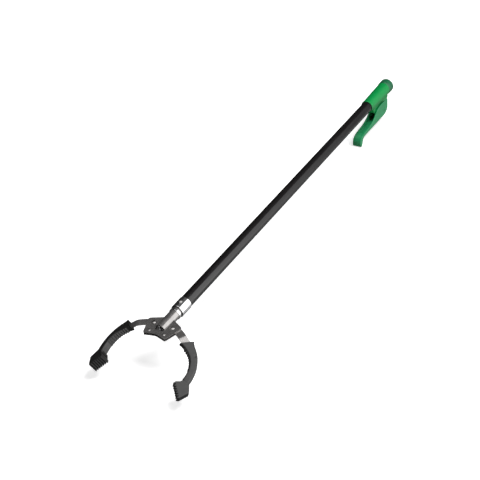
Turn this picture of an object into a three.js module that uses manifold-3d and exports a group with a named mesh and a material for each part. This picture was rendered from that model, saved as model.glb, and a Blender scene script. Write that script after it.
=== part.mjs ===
// A hand-held reacher grabber: squeeze lever, long steel tube with a pull rod inside it,
// and a head of two pressed plates holding a pair of bent steel jaws in rubber boots.
// Millimetres. The origin is the middle of the flat on the grip's end; +X runs along the tube to
// the jaws, +Z is the side away from the squeeze lever, and the jaws open along Y.
import * as THREE from "three";
import { mergeVertices } from "three/addons/utils/BufferGeometryUtils.js";
import Module from "manifold-3d";

const wasm = await Module();
wasm.setup();

// ---- driving dimensions ----
const TUBE_R = 11;
const TUBE_WALL = 1.2;
const TUBE_START = 21;
const TUBE_END = 797;
const GAP = 0.3; // between a piece and the neighbour it rests on
const ROUND = 32; // sides of a large round piece
const SMALL_ROUND = 16; // sides of a pin or rivet

const HEAD_X = 838; // the line through both jaw rivets
const JAW_Y = 18; // jaw rivet, out from the tube's axis
const SHEET = 1.2; // thickness of the pressed head plates
const ARM_SHEET = 2.2; // thickness of a jaw arm
const PLATE_FACE = ARM_SHEET / 2 + GAP; // inner face of a head plate above the middle plane
const RIDGE_R = 9.4; // outside of the half-round ridge and neck
const LEVER = 14.2; // jaw rivet to crosshead pin, across the tube

const TRAVEL = 10.84; // stroke of the pull rod
const TRIGGER_X = 37;
const TRIGGER_Z = -37;
const TRIGGER_ARM = 37; // lever pivot to rod axis
const ARM_LEAN = Math.atan(TRAVEL / 2 / TRIGGER_ARM);
const YOKE_X = TRIGGER_X + TRAVEL / 2; // yoke pin at rest
const PIN_X = HEAD_X + TRAVEL / 2; // crosshead pins at rest
const PIN_Y = JAW_Y - LEVER;
const ROD_R = 2.5;
const ROD_NOSE_R = 1.8; // the rod's threaded nose, in the crosshead

const ARM_OUT = THREE.MathUtils.degToRad(58.4); // direction a jaw arm leaves the head
const ARM_DROP = THREE.MathUtils.degToRad(28.9); // bend of the arm away from the middle plane
const BEND_AT = 27.5; // jaw rivet to the bend
const BEND_LENGTH = 7;
const ARM_WIDTH = 13;
const PAD_TOP = 7.8; // grip pad above and below the arm's middle plane
const PAD_BOTTOM = -9.4;
const SIDES = [["left", -1], ["right", 1]];

const lerp = THREE.MathUtils.lerp;
const smooth = THREE.MathUtils.smoothstep;

// ---- materials ----
function material(color, roughness, metalness) {
  return new THREE.MeshStandardMaterial({ color, roughness, metalness });
}
const green = () => material(0x009a4c, 0.35, 0);
const darkGreen = () => material(0x15784c, 0.4, 0);
const blackPaint = () => material(0x0d0b0c, 0.35, 0.4);
const chrome = () => material(0xd8d8da, 0.15, 1);
const satinSteel = () => material(0x5a5655, 0.4, 0.9);
const zinc = () => material(0xb9bbbd, 0.3, 1);
const nylon = () => material(0xe4e2da, 0.6, 0);
const rubber = () => material(0x232323, 0.85, 0);

// ---- solids ----
function solid(geometry) {
  const bare = geometry.clone();
  bare.deleteAttribute("normal");
  bare.deleteAttribute("uv");
  const merged = mergeVertices(bare, 1e-4);
  const index = merged.index.array;
  const kept = [];
  for (let i = 0; i < index.length; i += 3) {
    const [a, b, c] = index.subarray(i, i + 3);
    if (a !== b && b !== c && a !== c) kept.push(a, b, c);
  }
  const vertProperties = merged.attributes.position.array;
  return new wasm.Manifold(
    new wasm.Mesh({ numProp: 3, vertProperties, triVerts: new Uint32Array(kept) }),
  );
}

function geometryOf(shape) {
  const mesh = shape.getMesh();
  const geometry = new THREE.BufferGeometry();
  geometry.setAttribute("position", new THREE.BufferAttribute(mesh.vertProperties, 3));
  geometry.setIndex(new THREE.BufferAttribute(mesh.triVerts, 1));
  return geometry;
}

function cut(body, ...tools) {
  return tools.reduce((left, tool) => left.subtract(solid(tool)), body);
}

function join(...geometries) {
  return geometries.map(solid).reduce((left, right) => left.add(right));
}

const root = new THREE.Group();

function add(name, geometry, finish, group = root) {
  const flat = geometry.isBufferGeometry ? geometry : geometryOf(geometry);
  flat.computeVertexNormals();
  const mesh = new THREE.Mesh(flat, finish);
  mesh.name = name;
  group.add(mesh);
  return mesh;
}

// A closed profile of [along, radius] points turned about the X axis.
function turned(profile, sides = ROUND) {
  const points = profile.map(([along, radius]) => new THREE.Vector2(radius, along));
  const onAxis = points[0].x === 0 && points.at(-1).x === 0;
  if (THREE.ShapeUtils.isClockWise(points)) points.reverse();
  if (!onAxis) points.push(points[0].clone());
  return new THREE.LatheGeometry(points, sides).rotateZ(-Math.PI / 2);
}

function ring(from, to, inner, outer, sides = ROUND) {
  return turned([[from, inner], [from, outer], [to, outer], [to, inner]], sides);
}

function disc(from, to, radius, sides = ROUND) {
  return turned([[from, 0], [from, radius], [to, radius], [to, 0]], sides);
}

function box(x0, x1, y0, y1, z0, z1) {
  const made = new THREE.BoxGeometry(x1 - x0, y1 - y0, z1 - z0);
  return made.translate((x0 + x1) / 2, (y0 + y1) / 2, (z0 + z1) / 2);
}

function outline(points) {
  return new THREE.Shape(points.map(([x, y]) => new THREE.Vector2(x, y)));
}

// An outline in the XY plane, made solid from z0 to z1.
function sheet(shape, z0, z1, curveSegments = 8) {
  const made = new THREE.ExtrudeGeometry(shape, {
    depth: z1 - z0,
    bevelEnabled: false,
    curveSegments,
  });
  return made.translate(0, 0, z0);
}

// An outline in the XZ plane, made solid across y from -half to +half.
function slab(shape, half, curveSegments = 8) {
  return sheet(shape, -half, half, curveSegments).rotateX(Math.PI / 2);
}

// A pin, rivet or screw along +Z: profile of [height, radius] points.
function upright(profile, sides = SMALL_ROUND) {
  return turned(profile, sides).rotateY(-Math.PI / 2);
}

// The same along +Y, at x and z.
function crossways(profile, x, z) {
  return turned(profile, SMALL_ROUND).rotateZ(Math.PI / 2).translate(x, 0, z);
}

// Cutters for round holes: one along Z at x and y, one across Y at x and z.
function drill(x, y, radius, from = 0, to = 20) {
  return upright([[from, 0], [from, radius], [to, radius], [to, 0]]).translate(x, y, 0);
}

function bore(x, z, radius) {
  return crossways([[-20, 0], [-20, radius], [20, radius], [20, 0]], x, z);
}

// ---- tube and grip ----
const TUBE_BORE = TUBE_R - TUBE_WALL;
const KEEL_HALF = 5.6;
const SADDLE_HALF = 9;
const ARM_HALF = 2.2; // half thickness of the lever's inner arm
const ARM_SLOT = ARM_HALF + 0.5;
const SLOT_FROM = 25;
const SLOT_TO = 50.5;
const GRIP_FROM = 16;
const GRIP_TO = 100;
const GRIP_BORE = TUBE_R + GAP;
const CAP_LIP = 20.2; // front edge of the end cap, which hoods a step on the grip
const CAP_R = 14.7;
const STEP_R = 12.6;
const SCREW_X = 786;
const GRIP_SCREW_X = 88;

function tube() {
  return cut(
    solid(ring(TUBE_START, TUBE_END, TUBE_BORE, TUBE_R)),
    box(SLOT_FROM, SLOT_TO, -ARM_SLOT - 0.4, ARM_SLOT + 0.4, -20, -5),
    drill(SCREW_X, 0, 2.3),
    drill(GRIP_SCREW_X, 0, 1.9, -20, 0),
  );
}

function grip() {
  const barrel = turned([
    [GRIP_FROM, 0],
    [GRIP_FROM, STEP_R],
    [CAP_LIP + GAP, STEP_R],
    [CAP_LIP + GAP, 13.5],
    [CAP_LIP + 1, 13.9],
    [40, 13.7],
    [70, 13.1],
    [GRIP_TO - 1, 12.4],
    [GRIP_TO, 11.9],
    [GRIP_TO, 0],
  ]);
  const keel = new THREE.Shape();
  keel.moveTo(CAP_LIP + GAP, -8);
  keel.lineTo(CAP_LIP + GAP, -15.5);
  keel.lineTo(CAP_LIP + 1.8, -17.9);
  keel.lineTo(27, -17.9);
  keel.lineTo(29.5, -33);
  keel.absarc(TRIGGER_X, TRIGGER_Z, 4.8, Math.PI * 0.85, Math.PI * 1.55, false);
  keel.lineTo(60, -37);
  keel.lineTo(80, -25);
  keel.lineTo(84, -8);
  // Wide enough to fair into the lever's walls at the back, and cut away where they swing up.
  const saddle = outline([
    [CAP_LIP + GAP, -8],
    [CAP_LIP + GAP, -15.5],
    [CAP_LIP + 1.8, -17.9],
    [37, -17.9],
    [50, -13.4],
    [54, -8],
  ]);
  return cut(
    join(barrel, slab(keel, KEEL_HALF), slab(saddle, SADDLE_HALF)),
    disc(TUBE_START - 1, GRIP_TO + 1, GRIP_BORE),
    box(SLOT_FROM, SLOT_TO, -ARM_SLOT, ARM_SLOT, -50, -5),
    bore(TRIGGER_X, TRIGGER_Z, 2.2),
    drill(GRIP_SCREW_X, 0, 1.9, -20, 0),
    box(-1, GRIP_FROM + 6, -3.3, 3.3, -3.3, 3.3),
  );
}

// The blunt dome that closes the grip. Its skirt narrows to a lip over the grip's step.
function endCap() {
  const dome = [[0, 0], [0, 6.5]];
  for (let i = 1; i <= 6; i += 1) {
    const turn = (i / 6) * (Math.PI / 2);
    dome.push([5 * (1 - Math.cos(turn)), 6.5 + (CAP_R - 6.5) * Math.sin(turn)]);
  }
  const back = GRIP_FROM - GAP;
  dome.push([CAP_LIP - 2.2, CAP_R], [CAP_LIP, CAP_R - 1.4]);
  dome.push([CAP_LIP, STEP_R + GAP], [back, STEP_R + GAP], [back, 0]);
  return join(turned(dome), box(back - 2, GRIP_FROM + 4, -3, 3, -3, 3));
}

add("main_tube", tube(), blackPaint());
add("grip_body", grip(), green());
add("grip_end_cap", endCap(), darkGreen());
const gripScrew = upright([
  [-14.2, 0],
  [-13.8, 2.8],
  [-12.9, 3.2],
  [-12.9, 1.6],
  [-10, 1.6],
  [-10, 0],
]);
add("grip_screw", gripScrew.translate(GRIP_SCREW_X, 0, 0), zinc());

// ---- squeeze lever and its pivot ----
function trigger() {
  const side = new THREE.Shape();
  side.moveTo(21.5, -21);
  side.lineTo(22.5, -38);
  side.quadraticCurveTo(24, -45, 32, -48);
  side.quadraticCurveTo(40, -51, 52, -49.5);
  side.lineTo(132, -49);
  side.quadraticCurveTo(140.5, -50, 142.5, -57);
  side.quadraticCurveTo(144, -64, 148, -65.5);
  side.quadraticCurveTo(153, -66, 152.5, -60);
  side.quadraticCurveTo(153, -47, 140, -44);
  side.quadraticCurveTo(126, -41.5, 112, -41);
  side.quadraticCurveTo(88, -38, 76, -27);
  side.quadraticCurveTo(68, -19.5, 56, -19);
  side.lineTo(24, -18.5);
  const pocket = new THREE.Shape();
  pocket.moveTo(24.5, -10);
  pocket.lineTo(25, -38);
  pocket.quadraticCurveTo(27, -43, 34, -45.6);
  pocket.quadraticCurveTo(41, -48.2, 52, -46.9);
  pocket.lineTo(130, -46.4);
  pocket.lineTo(137, -43);
  pocket.lineTo(130, -10);
  const tongue = outline([[-5, -10.5], [5, -10.5], [5, 0], [4.6, 42], [-4.6, 42], [-5, 0]]);
  const seat = slab(tongue, ARM_HALF).rotateY(ARM_LEAN).translate(TRIGGER_X, 0, TRIGGER_Z);
  const fork = box(-2.15, 2.15, -9, 9, TRIGGER_ARM - 3.2, TRIGGER_ARM + 9);
  const shell = cut(solid(slab(side, 9)), slab(pocket, 6.8));
  return cut(
    shell.add(solid(seat).intersect(solid(box(10, 70, -4, 4, -48, 12)))),
    fork.rotateY(ARM_LEAN).translate(TRIGGER_X, 0, TRIGGER_Z),
    bore(TRIGGER_X, TRIGGER_Z, 2.25),
  );
}

const triggerPin = [
  [-11.3, 0],
  [-11.3, 1.6],
  [-10.9, 2],
  [9.3, 2],
  [9.3, 3.6],
  [9.9, 3.6],
  [10.4, 2.6],
  [10.4, 0],
];
const clip = [[-10.1, 2.3], [-10.1, 4], [-9.3, 4], [-9.3, 2.3]];
add("trigger", trigger(), green());
add("trigger_pin", crossways(triggerPin, TRIGGER_X, TRIGGER_Z), green());
add("trigger_pin_clip", crossways(clip, TRIGGER_X, TRIGGER_Z), zinc());

// ---- pull rod, yoke, crosshead and spring ----
const CLEVIS_Y = 6.9; // half width of the crosshead
const CLEVIS_Z = 3.5; // half height of the crosshead
const WEB_FRONT = PIN_X - 5.4;
const WEB_BACK = WEB_FRONT - 3.2;
const YOKE_FRONT = YOKE_X + 12;
const SEAT_X = 72;
const COLLAR_X = 118;

function rodYoke() {
  return cut(
    solid(box(YOKE_X - 5.5, YOKE_FRONT, -6, 6, -5, 5)),
    box(YOKE_X - 9, YOKE_X + 7, -ARM_SLOT, ARM_SLOT, -6, 6),
    disc(YOKE_X + 6, YOKE_FRONT + 1, ROD_R + 0.25, 20),
    bore(YOKE_X, 0, 2),
  );
}

function crosshead() {
  return cut(
    solid(box(WEB_BACK, PIN_X + 3.4, -CLEVIS_Y, CLEVIS_Y, -CLEVIS_Z, CLEVIS_Z)),
    box(WEB_FRONT, PIN_X + 9, -9, 9, -PLATE_FACE, PLATE_FACE),
    disc(WEB_BACK - 1, WEB_FRONT + 1, ROD_NOSE_R + GAP, 20),
    drill(PIN_X, PIN_Y, 1.75, -6, 6),
    drill(PIN_X, -PIN_Y, 1.75, -6, 6),
  );
}

function helix(turns, radius, length) {
  class Coil extends THREE.Curve {
    getPoint(t) {
      const turn = 2 * Math.PI * turns * t;
      return new THREE.Vector3(length * t, radius * Math.cos(turn), radius * Math.sin(turn));
    }
  }
  const wire = new THREE.Shape().absarc(0, 0, 0.8, 0, 2 * Math.PI, false);
  return new THREE.ExtrudeGeometry(wire, {
    extrudePath: new Coil(),
    steps: turns * 10,
    curveSegments: 2,
    bevelEnabled: false,
  });
}

const YOKE_HOLE_END = YOKE_X + 7 + GAP;
const rod = [
  [YOKE_HOLE_END, 0],
  [YOKE_HOLE_END, ROD_R],
  [WEB_BACK - GAP, ROD_R],
  [WEB_BACK - GAP, ROD_NOSE_R],
  [WEB_FRONT - GAP, ROD_NOSE_R],
  [WEB_FRONT - GAP, 0],
];
add("pull_rod", turned(rod, 20), zinc());
add("rod_yoke", rodYoke(), zinc());
const yokePin = [[-6.9, 0], [-6.9, 2.6], [-6.3, 2.9], [-6.3, 1.7], [6.4, 1.7], [6.8, 1.4], [6.8, 0]];
add("yoke_pin", crossways(yokePin, YOKE_X, 0), zinc());
add("crosshead", crosshead(), zinc());
for (const [name, side] of SIDES) {
  const pin = upright([[-4.6, 0], [-4.6, 1.5], [3.7, 1.5], [3.7, 2.1], [4.2, 1.8], [4.4, 0]]);
  add("crosshead_pin_" + name, pin.translate(PIN_X, side * PIN_Y, 0), zinc());
}
add("spring_collar", ring(COLLAR_X, COLLAR_X + 4, ROD_R + GAP, 7.2, 24), zinc());
const spring = helix(8, 5.6, COLLAR_X - SEAT_X - 8);
add("return_spring", spring.translate(SEAT_X + 6, 0, 0), zinc());

// ---- guides inside the tube ----
const GUIDE_BORE = ROD_R + 0.35;
add("spring_seat", ring(SEAT_X, SEAT_X + 4, GUIDE_BORE, TUBE_BORE - GAP), nylon());
add("mid_rod_guide", ring(430, 442, GUIDE_BORE, TUBE_BORE - GAP), nylon());

// ---- ferrule, screw and neck ----
const NECK_FROM = 766;
const NECK_PLUG_TO = 792;
const RIDGE_BORE = RIDGE_R - SHEET;

function ferrule() {
  const shell = turned([
    [774, TUBE_R + GAP],
    [774, 11.6],
    [774.6, 11.95],
    [797, 11.95],
    [798.6, 11.6],
    [798.6, 11.1],
    [797.4, 11.1],
    [797.4, TUBE_R + GAP],
  ]);
  return cut(solid(shell), drill(SCREW_X, 0, 2.3));
}

function frontGuide() {
  return cut(
    solid(ring(NECK_FROM, NECK_PLUG_TO, GUIDE_BORE, RIDGE_BORE - GAP, 28)),
    drill(SCREW_X, 0, 2.3, 3.5),
  );
}

add("ferrule", ferrule(), chrome());
const screw = [[4.2, 0], [4.2, 1.9], [12.1, 1.9], [12.1, 3.5], [12.7, 3.3], [13.3, 2.4], [13.6, 0]];
add("ferrule_screw", upright(screw).translate(SCREW_X, 0, 0), zinc());
add("front_rod_guide", frontGuide(), nylon());
add("neck_collar", ring(802.5, 806.5, RIDGE_R + GAP, 10.5), chrome());

// ---- head plates ----
const RIDGE_TO = HEAD_X + 9;
const WINDOW_TO = HEAD_X + 13.5;
const SPACER_X = HEAD_X + 18.8;
const SPACER_Y = 14.2;

// Half of the butterfly outline, from the neck round to the notch, on the +Y side.
const PLATE_EDGE = [
  [HEAD_X - 17.5, 9.2],
  [HEAD_X - 15.5, 12.6],
  [HEAD_X - 7.4, 29.2],
  [HEAD_X - 5.2, 31.3],
  [HEAD_X - 2.4, 31.2],
  [HEAD_X + 25.8, 21.6],
  [HEAD_X + 27.6, 19.4],
  [HEAD_X + 26.6, 17],
  [HEAD_X + 22.6, 0],
];

function headPlate() {
  const mirrored = PLATE_EDGE.slice(0, -1).map(([x, y]) => [x, -y]).reverse();
  const butterfly = outline([...PLATE_EDGE, ...mirrored].reverse());
  const wings = sheet(butterfly, PLATE_FACE, PLATE_FACE + SHEET);
  const neck = ring(NECK_FROM, RIDGE_TO, RIDGE_BORE, RIDGE_R, 28);
  const upperHalf = box(NECK_FROM - 1, RIDGE_TO + 1, -20, 20, GAP / 2, 20);
  const underWings = box(HEAD_X - 18, RIDGE_TO + 1, -20, 20, -1, PLATE_FACE);
  const ridge = cut(solid(neck).intersect(solid(upperHalf)), underWings);
  const window = box(HEAD_X - 19, WINDOW_TO, -RIDGE_BORE, RIDGE_BORE, 0, PLATE_FACE + SHEET + 0.1);
  const holes = [drill(SCREW_X, 0, 2.3)];
  for (const side of [-1, 1]) {
    holes.push(drill(HEAD_X, side * JAW_Y, 2.8));
    holes.push(drill(SPACER_X, side * SPACER_Y, 2));
  }
  return cut(cut(solid(wings), window).add(ridge), ...holes);
}

add("head_plate_top", headPlate(), satinSteel());
const lower = add("head_plate_bottom", headPlate(), satinSteel());
lower.rotation.x = Math.PI;

function rivet(shank, head, rise) {
  const face = PLATE_FACE + SHEET + 0.1;
  const cap = [[face, shank], [face, head], [face + rise * 0.5, head * 0.85], [face + rise, 0]];
  const foot = cap.map(([z, radius]) => [-z, radius]).reverse();
  return upright([...foot, ...cap]);
}

for (const [name, side] of SIDES) {
  const main = rivet(2.4, 3.7, 1.5).translate(HEAD_X, side * JAW_Y, 0);
  const spacer = rivet(1.7, 2.4, 1).translate(SPACER_X, side * SPACER_Y, 0);
  add("jaw_rivet_" + name, main, chrome());
  add("spacer_rivet_" + name, spacer, chrome());
}

// ---- jaws ----
// Each jaw is drawn flat, with s along the arm from its rivet and t out from it, and is then bent.
const ARM_PATH = [
  [0, 3],
  [14, 4.9],
  [27.5, 5.2],
  [39.5, 6],
  [54.5, 6.4],
  [65.5, 4.6],
  [75, 0.2],
  [83.5, -6],
  [92, -16],
  [97, -25],
];

// Lays a unit solid along a stretch of a path: its x from 0 to 1 follows the path, and its y and z
// are stretched to the half width and half height found there.
function along(path, unit, from, to, halfWidth, halfHeight) {
  const curve = new THREE.SplineCurve(path.map(([x, y]) => new THREE.Vector2(x, y)));
  const position = unit.attributes.position;
  for (let i = 0; i < position.count; i += 1) {
    const t = from + (to - from) * position.getX(i);
    const point = curve.getPointAt(t);
    const tangent = curve.getTangentAt(t);
    const side = position.getY(i) * halfWidth(t);
    position.setX(i, point.x - tangent.y * side);
    position.setY(i, point.y + tangent.x * side);
    position.setZ(i, position.getZ(i) * halfHeight(t));
  }
  return unit;
}

function unitBar(steps) {
  return new THREE.BoxGeometry(1, 2, 2, steps, 1, 1).translate(0.5, 0, 0);
}

// A bar with a rounded square section.
function unitRoundBar(steps, sides) {
  const bar = new THREE.CylinderGeometry(1, 1, 1, sides, steps);
  bar.rotateZ(Math.PI / 2).translate(0.5, 0, 0);
  const position = bar.attributes.position;
  for (let i = 0; i < position.count; i += 1) {
    const y = position.getY(i);
    const z = position.getZ(i);
    const reach = Math.cbrt(Math.abs(y) ** 3 + Math.abs(z) ** 3);
    const swell = Math.hypot(y, z) / Math.max(1e-9, reach);
    position.setY(i, y * swell);
    position.setZ(i, z * swell);
  }
  return bar;
}

const ARM_END = 0.96; // shares of the arm's path
const CUFF_AT = 0.355;
const SLEEVE_HALF = 6.7; // half height of a boot's sleeve
const SLEEVE_RISE = 1.5; // how far the sleeve's middle sits above the arm's

function armHalf(t) {
  return lerp(ARM_WIDTH / 2, 4.2, smooth(t, 0.3, 0.75));
}

// Bends a flat piece about the line s = BEND_AT, over a short arc.
function bent(geometry) {
  const radius = BEND_LENGTH / ARM_DROP;
  const start = BEND_AT - BEND_LENGTH / 2;
  const position = geometry.attributes.position;
  for (let i = 0; i < position.count; i += 1) {
    const s = position.getX(i);
    const w = position.getZ(i);
    const turn = THREE.MathUtils.clamp((s - start) / radius, 0, ARM_DROP);
    const beyond = Math.max(0, s - start - BEND_LENGTH);
    const forward = Math.min(s, start) + radius * Math.sin(turn) + beyond * Math.cos(turn);
    const down = radius * (1 - Math.cos(turn)) + beyond * Math.sin(turn);
    position.setX(i, forward + w * Math.sin(turn));
    position.setZ(i, w * Math.cos(turn) - down);
  }
  return geometry;
}

// The inner end of the arm: a fork that straddles one crosshead pin.
function horn() {
  const length = LEVER / Math.cos(Math.atan(TRAVEL / 2 / LEVER));
  const prongs = outline([[0, -4.2], [length + 2, -3.6], [length + 2, 3.6], [0, 4.2]]);
  const slot = box(length - 4, length + 6, -1.85, 1.85, -3, 3);
  const lean = Math.atan2(-LEVER, TRAVEL / 2) - ARM_OUT;
  const fork = cut(solid(sheet(prongs, -ARM_SHEET / 2, ARM_SHEET / 2)), slot);
  return fork.rotate([0, 0, THREE.MathUtils.radToDeg(lean)]);
}

function jawArm() {
  const half = ARM_SHEET / 2;
  const strip = bent(along(ARM_PATH, unitBar(44), 0.04, ARM_END, armHalf, () => half));
  const hub = upright([[-half, 0], [-half, 8.4], [half, 8.4], [half, 0]], 28);
  const eye = upright([[-9, 0], [-9, 2.75], [9, 2.75], [9, 0]]);
  return cut(solid(strip).add(solid(hub)).add(horn()), eye);
}

const PAD_HEEL = [BEND_AT + 61.7, -39.8];
const PAD_TIP = [BEND_AT + 88.4, -45.9];
const PAD_BACK = [BEND_AT + 87.6, -26.8];
const TEETH = 7;
const TOOTH = 1.7;

// The pad's outline: a toothed gripping face from heel to tip, then a plain back.
function padOutline() {
  const points = [PAD_BACK, [BEND_AT + 74.5, -20], [BEND_AT + 66, -22], [BEND_AT + 65, -32]];
  for (let i = 0; i < TEETH; i += 1) {
    for (const [share, depth] of [[0.12, 0], [0.5, -TOOTH], [0.88, 0]]) {
      const t = (i + share) / TEETH;
      const s = lerp(PAD_HEEL[0], PAD_TIP[0], t);
      const out = lerp(PAD_HEEL[1], PAD_TIP[1], t);
      points.push([s + depth * 0.22, out + depth]);
    }
  }
  return outline(points);
}

function bootHalf(t) {
  const cuff = 2.4 * (1 - smooth(t, 0.36, 0.42));
  return lerp(8, 6.2, smooth(t, 0.36, 0.7)) + cuff;
}

// A rubber boot, still flat: rounded sleeve and grip pad in one, with a pocket for the arm.
function flatBoot() {
  const sleeve = along(ARM_PATH, unitRoundBar(16, 16), CUFF_AT, 0.985, bootHalf, () => SLEEVE_HALF);
  sleeve.translate(0, 0, SLEEVE_RISE);
  const room = (t) => armHalf(t) + GAP;
  const pocket = along(ARM_PATH, unitBar(44), 0.04, ARM_END + 0.01, room, () => ARM_SHEET / 2 + GAP);
  return cut(join(sleeve, sheet(padOutline(), PAD_BOTTOM, PAD_TOP)), pocket);
}

for (const [name, side] of SIDES) {
  const jaw = new THREE.Group();
  jaw.position.set(HEAD_X, side * JAW_Y, 0);
  jaw.scale.y = side;
  const turn = new THREE.Group();
  turn.rotation.z = ARM_OUT;
  jaw.add(turn);
  root.add(jaw);
  add("jaw_arm_" + name, jawArm(), satinSteel(), turn);
  add("jaw_boot_" + name, bent(geometryOf(flatBoot())), rubber(), turn);
}

export default root;
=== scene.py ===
import math

import bmesh
import bpy
from mathutils import Matrix, Vector


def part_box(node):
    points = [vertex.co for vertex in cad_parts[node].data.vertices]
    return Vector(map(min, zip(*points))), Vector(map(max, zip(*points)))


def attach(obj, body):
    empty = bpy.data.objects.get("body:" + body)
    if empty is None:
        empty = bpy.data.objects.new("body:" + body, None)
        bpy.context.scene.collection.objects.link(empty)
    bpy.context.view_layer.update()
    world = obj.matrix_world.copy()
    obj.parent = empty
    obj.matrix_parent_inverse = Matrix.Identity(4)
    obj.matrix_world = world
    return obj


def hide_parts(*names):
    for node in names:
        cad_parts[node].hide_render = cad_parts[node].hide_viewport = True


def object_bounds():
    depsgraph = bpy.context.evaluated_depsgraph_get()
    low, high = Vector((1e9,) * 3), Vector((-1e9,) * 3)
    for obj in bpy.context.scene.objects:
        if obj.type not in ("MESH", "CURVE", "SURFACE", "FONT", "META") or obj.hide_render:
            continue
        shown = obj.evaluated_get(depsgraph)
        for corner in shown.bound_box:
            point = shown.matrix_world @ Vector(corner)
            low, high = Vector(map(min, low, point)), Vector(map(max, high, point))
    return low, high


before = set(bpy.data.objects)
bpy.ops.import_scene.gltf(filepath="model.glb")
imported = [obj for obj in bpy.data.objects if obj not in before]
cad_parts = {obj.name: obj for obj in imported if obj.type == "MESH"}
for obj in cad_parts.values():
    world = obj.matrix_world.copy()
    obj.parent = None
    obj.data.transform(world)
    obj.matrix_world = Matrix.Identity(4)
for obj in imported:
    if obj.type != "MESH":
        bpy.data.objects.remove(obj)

cad_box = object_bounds()
MM = 0.001


# ---- places and sizes read from the frame, in millimetres ----
def span(node, axis):
    low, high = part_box(node)
    return low[axis] / MM, high[axis] / MM


def middle(node, axis):
    return sum(span(node, axis)) / 2


TUBE_FROM, TUBE_TO = span("main_tube", 0)
TUBE_R = span("main_tube", 2)[1]
GRIP_FROM, GRIP_TO = span("grip_body", 0)
CAP_R = span("grip_end_cap", 2)[1]
FERRULE_FROM, FERRULE_TO = span("ferrule", 0)
FERRULE_R = span("ferrule", 2)[1]
COLLAR_FROM, COLLAR_TO = span("neck_collar", 0)
COLLAR_R = span("neck_collar", 2)[1]
SCREW_X = middle("ferrule_screw", 0)
SCREW_TOP = span("ferrule_screw", 2)[1]
GRIP_SCREW_X = middle("grip_screw", 0)
HEAD_X = middle("jaw_rivet_right", 0)
JAW_Y = middle("jaw_rivet_right", 1)
SPACER_X = middle("spacer_rivet_right", 0)
SPACER_Y = middle("spacer_rivet_right", 1)
NECK_FROM = span("head_plate_top", 0)[0]
RIDGE_R = span("head_plate_top", 2)[1]
PIN_X = middle("crosshead_pin_right", 0)
PIN_Y = middle("crosshead_pin_right", 1)
LEVER_X = middle("trigger_pin", 0)
LEVER_Z = middle("trigger_pin", 2)
LEVER_HALF = span("trigger", 1)[1]

GAP = 0.3  # between pieces that don't touch
TUBE_WALL = 1.2
CAP_LIP = 20.2  # where the skirt of the cap ends
STEP_R = 12.6  # of the step on the grip, under that skirt
PIVOT_R = 2.0  # of the pin that the lever turns on
TONGUE_HALF = 2.2  # half the thickness of the lever's tongue
SHEET = 1.2  # thickness of the head plates
ARM_SHEET = 2.2  # thickness of the jaw arms
PLATE_FACE = ARM_SHEET / 2 + GAP  # height of the inner faces of the head plates
SIDES = {"left": -1, "right": 1}


# ---- mesh tools ----
def as_object(name, bm):
    bmesh.ops.recalc_face_normals(bm, faces=bm.faces)
    mesh = bpy.data.meshes.new(name)
    bm.to_mesh(mesh)
    bm.free()
    obj = bpy.data.objects.new(name, mesh)
    bpy.context.scene.collection.objects.link(obj)
    return obj


def lathe(name, profile, sides=96, frame_axis="X"):
    """Turns a profile of (along, radius) points about an axis. It closes on itself or on it."""
    bm = bmesh.new()
    rings = []
    for along, radius in profile:
        if radius == 0:
            rings.append([bm.verts.new((along, 0, 0))])
            continue
        ring = []
        for i in range(sides):
            turn = 2 * math.pi * (i + 0.5) / sides
            ring.append(bm.verts.new((along, radius * math.cos(turn), radius * math.sin(turn))))
        rings.append(ring)
    pairs = list(zip(rings, rings[1:]))
    if len(rings[0]) > 1 and len(rings[-1]) > 1:
        pairs.append((rings[-1], rings[0]))
    for first, second in pairs:
        for i in range(sides):
            j = (i + 1) % sides
            corners = [first[i % len(first)], first[j % len(first)]]
            corners += [second[j % len(second)], second[i % len(second)]]
            unique = list(dict.fromkeys(corners))
            if len(unique) > 2:
                bm.faces.new(unique)
    if frame_axis == "Y":
        bm.transform(Matrix.Rotation(math.pi / 2, 4, "Z"))
    elif frame_axis == "Z":
        bm.transform(Matrix.Rotation(-math.pi / 2, 4, "Y"))
    return as_object(name, bm)


def move(obj, x=0.0, y=0.0, z=0.0):
    obj.data.transform(Matrix.Translation((x, y, z)))
    return obj


def prism(name, points, low, high, upright="Z"):
    """A closed outline made solid from low to high along Z, or along Y if it is in X and Z."""
    bm = bmesh.new()
    loops = [[bm.verts.new((u, v, w)) for u, v in points] for w in (low, high)]
    bm.faces.new(loops[0])
    bm.faces.new(loops[1])
    for i in range(len(points)):
        j = (i + 1) % len(points)
        bm.faces.new((loops[0][i], loops[0][j], loops[1][j], loops[1][i]))
    if upright == "Y":
        bm.transform(Matrix.Rotation(math.pi / 2, 4, "X"))
    return as_object(name, bm)


def block(x0, x1, y0, y1, z0, z1):
    return prism("block", [(x0, y0), (x1, y0), (x1, y1), (x0, y1)], z0, z1)


def peg(radius, low, high, x=0.0, y=0.0, z=0.0, axis="Z", sides=48):
    made = lathe("peg", [(low, 0), (low, radius), (high, radius), (high, 0)], sides, axis)
    return move(made, x, y, z)


def bake(obj):
    graph = bpy.context.evaluated_depsgraph_get()
    mesh = bpy.data.meshes.new_from_object(obj.evaluated_get(graph))
    obj.modifiers.clear()
    obj.data = mesh
    return obj


def boolean(obj, operation, tools):
    for tool in tools:
        modifier = obj.modifiers.new("boolean", "BOOLEAN")
        modifier.operation = operation
        modifier.solver = "EXACT"
        modifier.object = tool
    bake(obj)
    for tool in tools:
        bpy.data.objects.remove(tool)
    return obj


def cut(obj, *tools):
    return boolean(obj, "DIFFERENCE", tools)


def join(obj, *tools):
    return boolean(obj, "UNION", tools)


def keep(obj, tool):
    return boolean(obj, "INTERSECT", [tool])


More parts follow.
